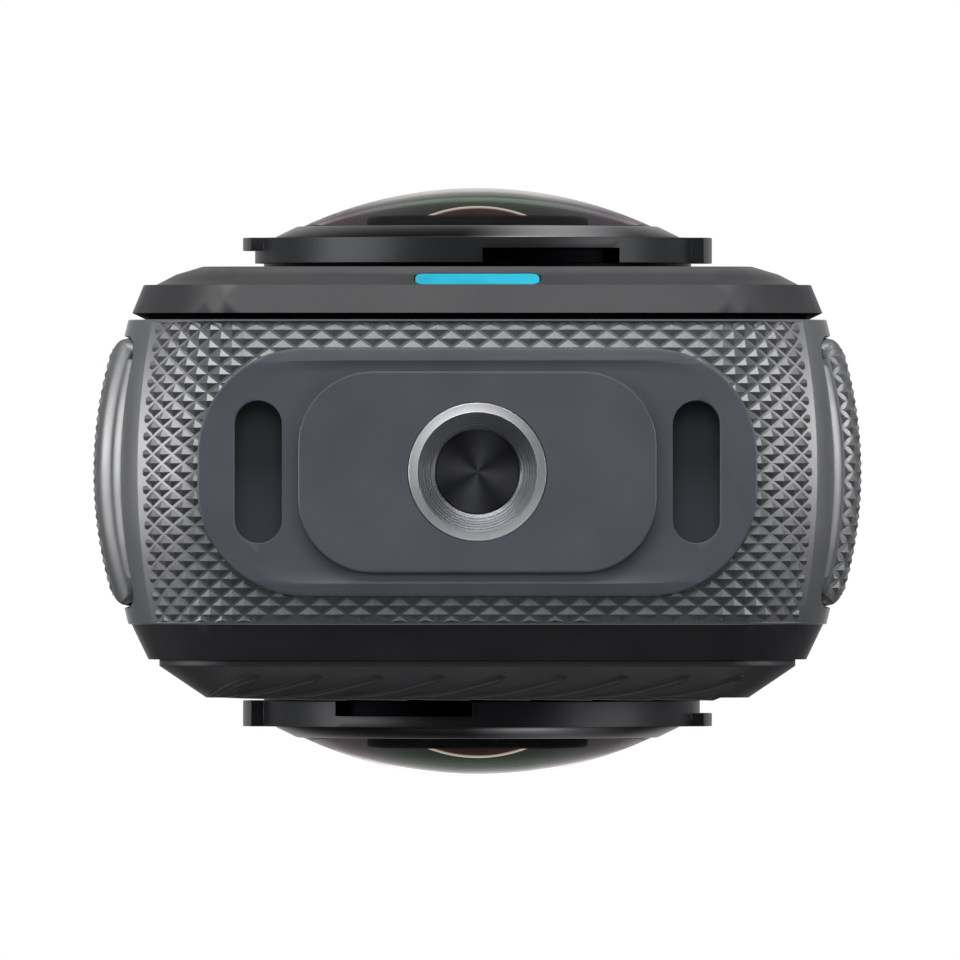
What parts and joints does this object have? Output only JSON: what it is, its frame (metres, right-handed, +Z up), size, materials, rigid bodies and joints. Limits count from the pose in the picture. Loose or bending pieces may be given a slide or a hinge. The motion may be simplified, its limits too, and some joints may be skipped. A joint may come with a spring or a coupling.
{
  "type": "360 degree camera",
  "caption": "Handheld 360 degree camera with two domed lenses back to back, touch screen, slide-out battery, hinged port door and a tripod thread in its base.",
  "frame": {"origin": "on the axis of the tripod thread, at the face of the raised base plate that the camera stands on", "axes": "+Z up to the lenses, -Y out of the screen, +X out of the side with the port door and buttons"},
  "size_m": [0.0461, 0.0366, 0.1245],
  "materials": {
    "band_rubber": "moulded rubber with a raised diamond texture",
    "pad_plastic": "smooth satin moulded plastic",
    "thread_metal": "turned, bright",
    "magnet_metal": "plated",
    "frame_alloy": "die-cast, dark coating",
    "cover_plastic": "fine satin grain",
    "grip_rubber": "soft touch with moulded ribs",
    "black_plastic": "black, slight gloss",
    "ring_coat": "black anodised look",
    "bezel_coat": "black, fine turned",
    "lens_glass": "coated optical glass",
    "screen_glass": "polished black glass",
    "display_black": "dark panel",
    "light_lens": "translucent, lit cyan",
    "board_green": "solder mask",
    "can_steel": "tinned",
    "copper": "bare copper",
    "battery_case": "fine grain",
    "contact_gold": "gold plated",
    "seal_rubber": "soft black rubber",
    "button_plastic": "satin",
    "connector_steel": "plated",
    "card_plastic": "matt black",
    "screw_steel": "zinc plated",
    "flex_film": "amber film"
  },
  "bodies": {
    "camera": {"grip_band": "band_rubber", "base_pad": "pad_plastic", "tripod_bushing": "thread_metal", "mount_magnets": "magnet_metal", "mid_frame": "frame_alloy", "foot_block": "frame_alloy", "battery_bay": "black_plastic", "battery_contacts": "contact_gold", "front_cover": "cover_plastic", "light_bar": "light_lens", "screen_glass": "screen_glass", "display_panel": "display_black", "front_switch_board": "board_green", "front_gasket": "seal_rubber", "rear_gasket": "seal_rubber", "rear_cover": "cover_plastic", "rear_grip_panel": "grip_rubber", "cover_screws": "screw_steel", "speaker": "black_plastic", "microphones": "can_steel", "mic_meshes": "can_steel", "main_board": "board_green", "shield_cans": "can_steel", "heat_spreader": "copper", "flex_cables": "flex_film", "door_hinge_pin": "screw_steel", "usb_connector": "connector_steel", "card_socket": "can_steel", "side_board": "board_green", "button_panel": "pad_plastic", "side_switches": "black_plastic", "front_bayonet_ring": "ring_coat", "front_lens_bezel": "bezel_coat", "front_lens_dome": "lens_glass", "front_lens_barrel": "black_plastic", "front_lens_baffle": "black_plastic", "front_inner_lens": "lens_glass", "front_relay_lenses": "lens_glass", "front_sensor_board": "board_green", "rear_bayonet_ring": "ring_coat", "rear_lens_bezel": "bezel_coat", "rear_lens_dome": "lens_glass", "rear_lens_barrel": "black_plastic", "rear_lens_baffle": "black_plastic", "rear_inner_lens": "lens_glass", "rear_relay_lenses": "lens_glass", "rear_sensor_board": "board_green"},
    "battery": {"battery_pack": "battery_case", "battery_terminals": "contact_gold", "battery_cover": "band_rubber", "battery_seal": "seal_rubber"},
    "latch": {"battery_latch": "button_plastic"},
    "usb_door": {"usb_door": "band_rubber", "usb_door_seal": "seal_rubber"},
    "memory_card": {"memory_card": "card_plastic"},
    "power_button": {"power_button": "button_plastic"},
    "quick_button": {"quick_button": "button_plastic"},
    "shutter_button": {"shutter_button": "button_plastic"},
    "mode_button": {"mode_button": "button_plastic"}
  },
  "joints": [
    {"name": "battery_slide", "type": "slide", "parent": "camera", "child": "battery", "axis": [-1, 0, 0], "range_m": [0, 0.03]},
    {"name": "latch_slide", "type": "slide", "parent": "battery", "child": "latch", "axis": [0, 0, 1], "range_m": [0, 0.0025]},
    {"name": "usb_door_hinge", "type": "hinge", "parent": "camera", "child": "usb_door", "pos_m": [0.0213, 0, 0.04414], "axis": [0, -1, 0], "range_deg": [0, 100]},
    {"name": "card_press", "type": "slide", "parent": "camera", "child": "memory_card", "axis": [-1, 0, 0], "range_m": [0, 0.0006], "stiffness_N_per_m": 200},
    {"name": "power_press", "type": "slide", "parent": "camera", "child": "power_button", "axis": [-1, 0, 0], "range_m": [0, 0.00035], "stiffness_N_per_m": 200},
    {"name": "quick_press", "type": "slide", "parent": "camera", "child": "quick_button", "axis": [-1, 0, 0], "range_m": [0, 0.00035], "stiffness_N_per_m": 200},
    {"name": "shutter_press", "type": "slide", "parent": "camera", "child": "shutter_button", "axis": [0, 1, 0], "range_m": [0, 0.0004], "stiffness_N_per_m": 200},
    {"name": "mode_press", "type": "slide", "parent": "camera", "child": "mode_button", "axis": [0, 1, 0], "range_m": [0, 0.0004], "stiffness_N_per_m": 200}
  ]
}
